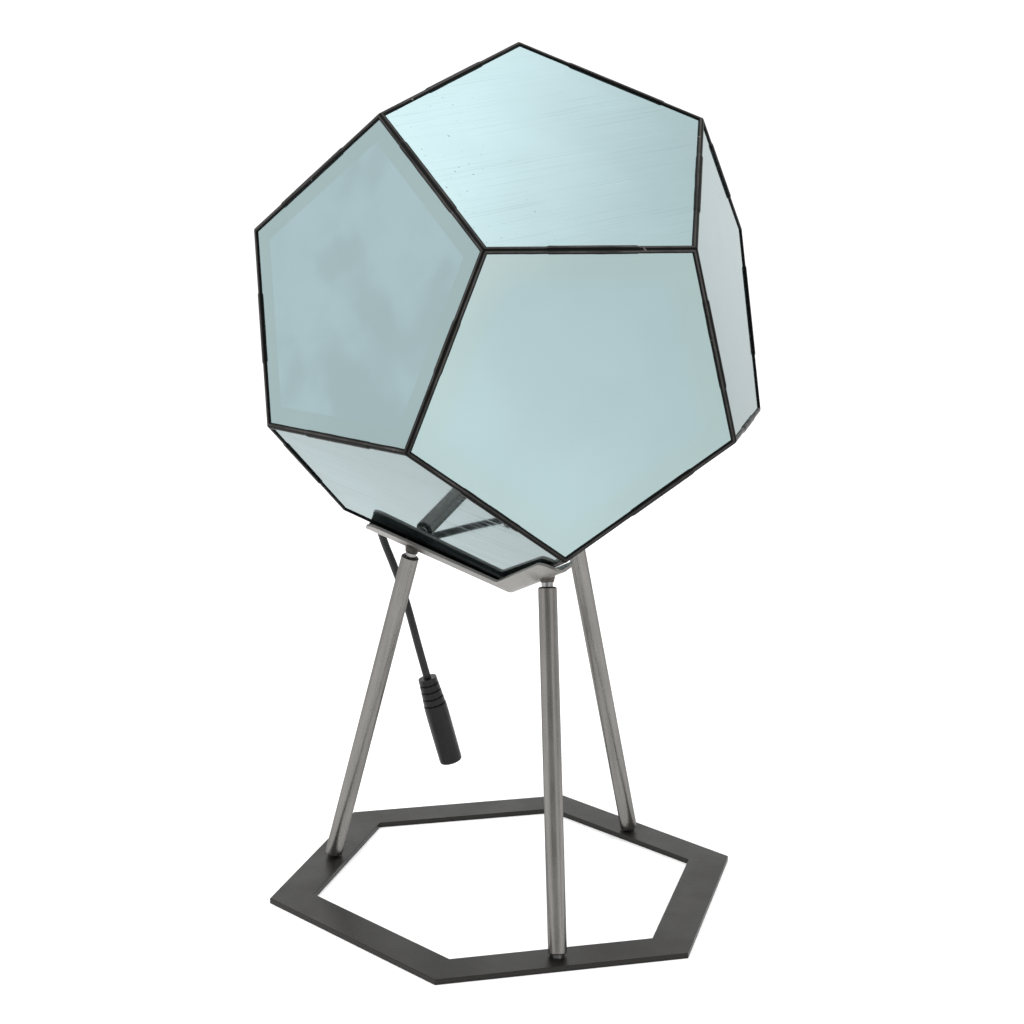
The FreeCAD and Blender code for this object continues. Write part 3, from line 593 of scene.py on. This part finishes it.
# Across one side of a strip: share of its width from the seam, height above the pane's plane in mm, wear
# with painted highlight.
SIDE_SECTION = [
    (0.00, 0.00, 0.0),
    (0.10, 0.06, 0.0),
    (0.20, 0.17, 0.1),
    (0.32, 0.25, 0.9),
    (0.46, 0.27, 1.0),
    (0.62, 0.25, 0.6),
    (0.78, 0.17, 0.0),
    (0.90, 0.06, 0.0),
    (0.98, -0.12, 0.0),
    (1.00, -0.39, 0.0),
]
HIDDEN_SHARE = 0.45
HIDDEN_HEIGHT = -0.30


def piece_from(name, vertices, faces, body, slot, wear_and_highlight):
    """A mesh piece on a body, with the slot's material and a value at each vertex for wear and painted
    highlight.
    """
    mesh = bpy.data.meshes.new(name)
    mesh.from_pydata(vertices, [], faces)
    mesh.update()
    mesh.attributes.new("wear_and_highlight", "FLOAT", "POINT").data.foreach_set("value", wear_and_highlight)
    mesh.polygons.foreach_set("use_smooth", [True] * len(mesh.polygons))
    mesh.materials.append(MATERIALS[slot])
    piece = bpy.data.objects.new(name, mesh)
    scene.collection.objects.link(piece)
    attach(piece, body)


def smooth_step(value, low, high):
    """0 below low, 1 above high, and smooth between them."""
    share = min(1.0, max(0.0, (value - low) / (high - low)))
    return share * share * (3 - 2 * share)


class StripShape:
    """How one strip swells, wanders and is nicked along its length, from -1 to 1."""

    def __init__(self, index, rise):
        self.seed = Vector((index * 7.31, index * 3.17, 0.0))
        self.rise = rise
        # Four values of noise set the sleeve's start and end and the places of two nicks.
        spread = [noise.noise(Vector((index * 1.73, where, 0.5))) for where in (0.0, 5.0, 9.0, 13.0)]
        self.start = -0.48 + 0.35 * spread[0]
        self.end = 0.38 + 0.30 * spread[1]
        self.nicks = [-0.75 + 1.5 * (0.5 + spread[2]), -0.6 + 1.2 * (0.5 + spread[3])]

    def sleeve(self, where):
        """1 along the thicker middle stretch of the strip, 0 near its ends."""
        begun = smooth_step(where, self.start, self.start + SLEEVE_RAMP)
        return begun * smooth_step(-where, -self.end, SLEEVE_RAMP - self.end)

    def wander(self, where, side):
        """How much wider or narrower a side is here, in metres, fading to nothing at the corners."""
        fade = smooth_step(1 - abs(where), 0.0, WANDER_FADE)
        point = Vector((where * 6.0, side * 11.0, 0.0)) + self.seed
        return WANDER_DEPTH * noise.noise(point) * fade

    def nick(self, where):
        """1 in the middle of a nick, 0 away from it."""
        return max(math.exp(-((where - middle) / NICK_LENGTH) ** 2) for middle in self.nicks)


def make_strip(index, first, second, rise):
    """A closed strip over the edge between two panes: a lobe on each pane, and a seam between them."""
    normals = (NORMALS[first], NORMALS[second])
    outward = (normals[0] + normals[1]).normalized()
    ridge = GLOBE_CENTRE + EDGE_REACH * outward
    direction = normals[0].cross(normals[1]).normalized()
    inward = [in_plane(normals[side], normals[side] - normals[1 - side]) for side in (0, 1)]
    shape = StripShape(index, rise)
    section = [(0, *row) for row in reversed(SIDE_SECTION)] + [(1, *row) for row in SIDE_SECTION[1:]]
    section += [(side, HIDDEN_SHARE, HIDDEN_HEIGHT, 0.0) for side in (1, 0)]
    vertices, wear_and_highlight_values = [], []
    for station in range(STATIONS + 1):
        even = 2 * station / STATIONS - 1
        crowded = math.sin(math.pi * (station / STATIONS - 0.5))
        where = crowded * END_CROWDING + even * (1 - END_CROWDING)
        lift = shape.sleeve(where)
        for side, share, height, wear_and_highlight in section:
            reach = share * (STRIP_WIDTH + SLEEVE_WIDENING * lift + shape.wander(where, side))
            dent = shape.nick(where) if wear_and_highlight > NICKED_LINE_LEVEL else 0.0
            swell = STRIP_LIFT + shape.rise * lift if height > BURIED_HEIGHT else 0.0
            high = height * MM + swell - NICK_DEPTH * dent
            run = where * (EDGE / 2 - reach * CORNER_COT)
            vertices.append(ridge + run * direction + reach * inward[side] + high * normals[side])
            wear_and_highlight_values.append(min(1.0, wear_and_highlight + NICK_SHINE * dent))
    count = len(section)
    faces = []
    for start in range(0, STATIONS * count, count):
        for one in range(count):
            two = (one + 1) % count
            faces.append((start + one, start + two, start + count + two, start + count + one))
    faces.append(tuple(reversed(range(count))))
    faces.append(tuple(STATIONS * count + one for one in range(count)))
    piece_from(f"edge_strip_{index:02d}", vertices, faces, "globe", "edge_black", wear_and_highlight_values)


def make_strips():
    """One strip on each of the thirty edges. Those that lie in the cradle are thin all along."""
    cradle_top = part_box("cradle")[1].z
    pairs = [(a, b) for a in PANES for b in neighbours(a) if a < b]
    for index, (first, second) in enumerate(pairs, 1):
        edge_middle = GLOBE_CENTRE + EDGE_REACH * (NORMALS[first] + NORMALS[second]).normalized()
        rise = SLEEVE_RISE if edge_middle.z > cradle_top + CRADLE_CLEARANCE else 0.0
        make_strip(index, first, second, rise)


make_strips()

# ---------------------------------------------------------------- floor, sky and lights

FLOOR_SIZE = 40.0
FLOOR_DEPTH = 0.05 * MM
FLOOR_FADE = (0.45, 2.2)  # distances from the origin between which the floor turns into the sky
FLOOR_LIFT = 0.18
SKY_BEHIND = (0.25, 0.94, 0.0)
SKY_RIGHT = (1.0, 0.0, 0.0)
SKY_OVERHEAD = (-0.25, -0.05, 0.967)
# Directions of two soft glows in front, one at each side of the camera, which light bands along the legs.
SIDE_GLOWS = [(-0.93, -0.28, 0.24), (0.41, -0.88, 0.24)]
LIGHT_AIM = (0.0, 0.0, 0.15)


def sky_level(tree, direction):
    """How bright the surroundings are: dimmer in front and at the sides, brighter overhead."""
    behind = along(tree, direction, SKY_BEHIND)
    side = along(tree, direction, SKY_RIGHT)
    overhead = along(tree, direction, SKY_OVERHEAD)
    level = remap(tree, behind, -0.95, 0.1, 0.42, 1.12)
    level = calc(tree, "MULTIPLY", level, remap(tree, side, -1.0, -0.35, 0.86, 1.0))
    level = calc(tree, "MULTIPLY", level, remap(tree, side, 0.52, 0.72, 1.0, 0.74))
    level = calc(tree, "ADD", level, remap(tree, overhead, 0.70, 1.0, 0.0, 0.65))
    for glow in SIDE_GLOWS:
        level = calc(tree, "ADD", level, remap(tree, along(tree, direction, glow), 0.88, 1.0, 0.0, 0.85))
    return level


def floor_material():
    """Matt white near the object; farther out it turns into the glow of the surroundings behind it."""
    material, tree, shader = new_material("floor_pale", 0.0, 0.0)
    point = stretched(tree, place(tree), (1.0, 1.0, 0.0))
    direction = add_node(tree, "ShaderNodeVectorMath", {0: point}, operation="NORMALIZE").outputs[0]
    radius = add_node(tree, "ShaderNodeVectorMath", {0: point}, operation="LENGTH").outputs["Value"]
    far = remap(tree, radius, FLOOR_FADE[0], FLOOR_FADE[1])
    wash = clouds(tree, point, 6.0)
    near = mix_colour(tree, wash, grey(0.90), grey(0.93))
    colour = mix_colour(tree, far, near, grey(0.0))
    shader.inputs["Emission Color"].default_value = grey(1.0)
    lift = calc(tree, "MULTIPLY", calc(tree, "SUBTRACT", 1.0, far), FLOOR_LIFT)
    glow = calc(tree, "ADD", lift, calc(tree, "MULTIPLY", far, sky_level(tree, direction)))
    tree.links.new(glow, shader.inputs["Emission Strength"])
    finish_shader(tree, shader, colour, remap(tree, wash, 0.0, 1.0, 0.8, 0.9))
    return material


def make_floor():
    """A white floor, just under the base and wide enough to meet the white background."""
    half = FLOOR_SIZE / 2
    corners = [(-half, -half), (half, -half), (half, half), (-half, half)]
    mesh = bpy.data.meshes.new("floor")
    mesh.from_pydata([(x, y, -FLOOR_DEPTH) for x, y in corners], [], [(0, 1, 2, 3)])
    floor = bpy.data.objects.new("floor", mesh)
    scene.collection.objects.link(floor)
    mesh.materials.append(floor_material())


def make_sky():
    """White surroundings."""
    world = bpy.data.worlds.new("studio")
    world.use_nodes = True
    scene.world = world
    tree = world.node_tree
    direction = add_node(tree, "ShaderNodeTexCoord").outputs["Generated"]
    background = tree.nodes["Background"]
    background.inputs["Color"].default_value = grey(1.0)
    tree.links.new(sky_level(tree, direction), background.inputs["Strength"])


def make_softbox(name, where, aim, size, watts):
    """A square soft light that lights the object without mirroring in its panes."""
    lamp = bpy.data.lights.new(name, "AREA")
    lamp.size = size
    lamp.energy = watts
    light = bpy.data.objects.new(name, lamp)
    scene.collection.objects.link(light)
    light.location = where
    light.rotation_euler = (Vector(aim) - Vector(where)).to_track_quat("-Z", "Y").to_euler()
    light.visible_glossy = False


make_floor()
make_sky()
make_softbox("key_light", (-0.9, -0.8, 1.5), LIGHT_AIM, size=1.2, watts=10.0)
make_softbox("fill_light", (1.1, 0.4, 1.3), LIGHT_AIM, size=1.2, watts=8.0)
scene.view_settings.view_transform = "Standard"

bpy.context.view_layer.update()
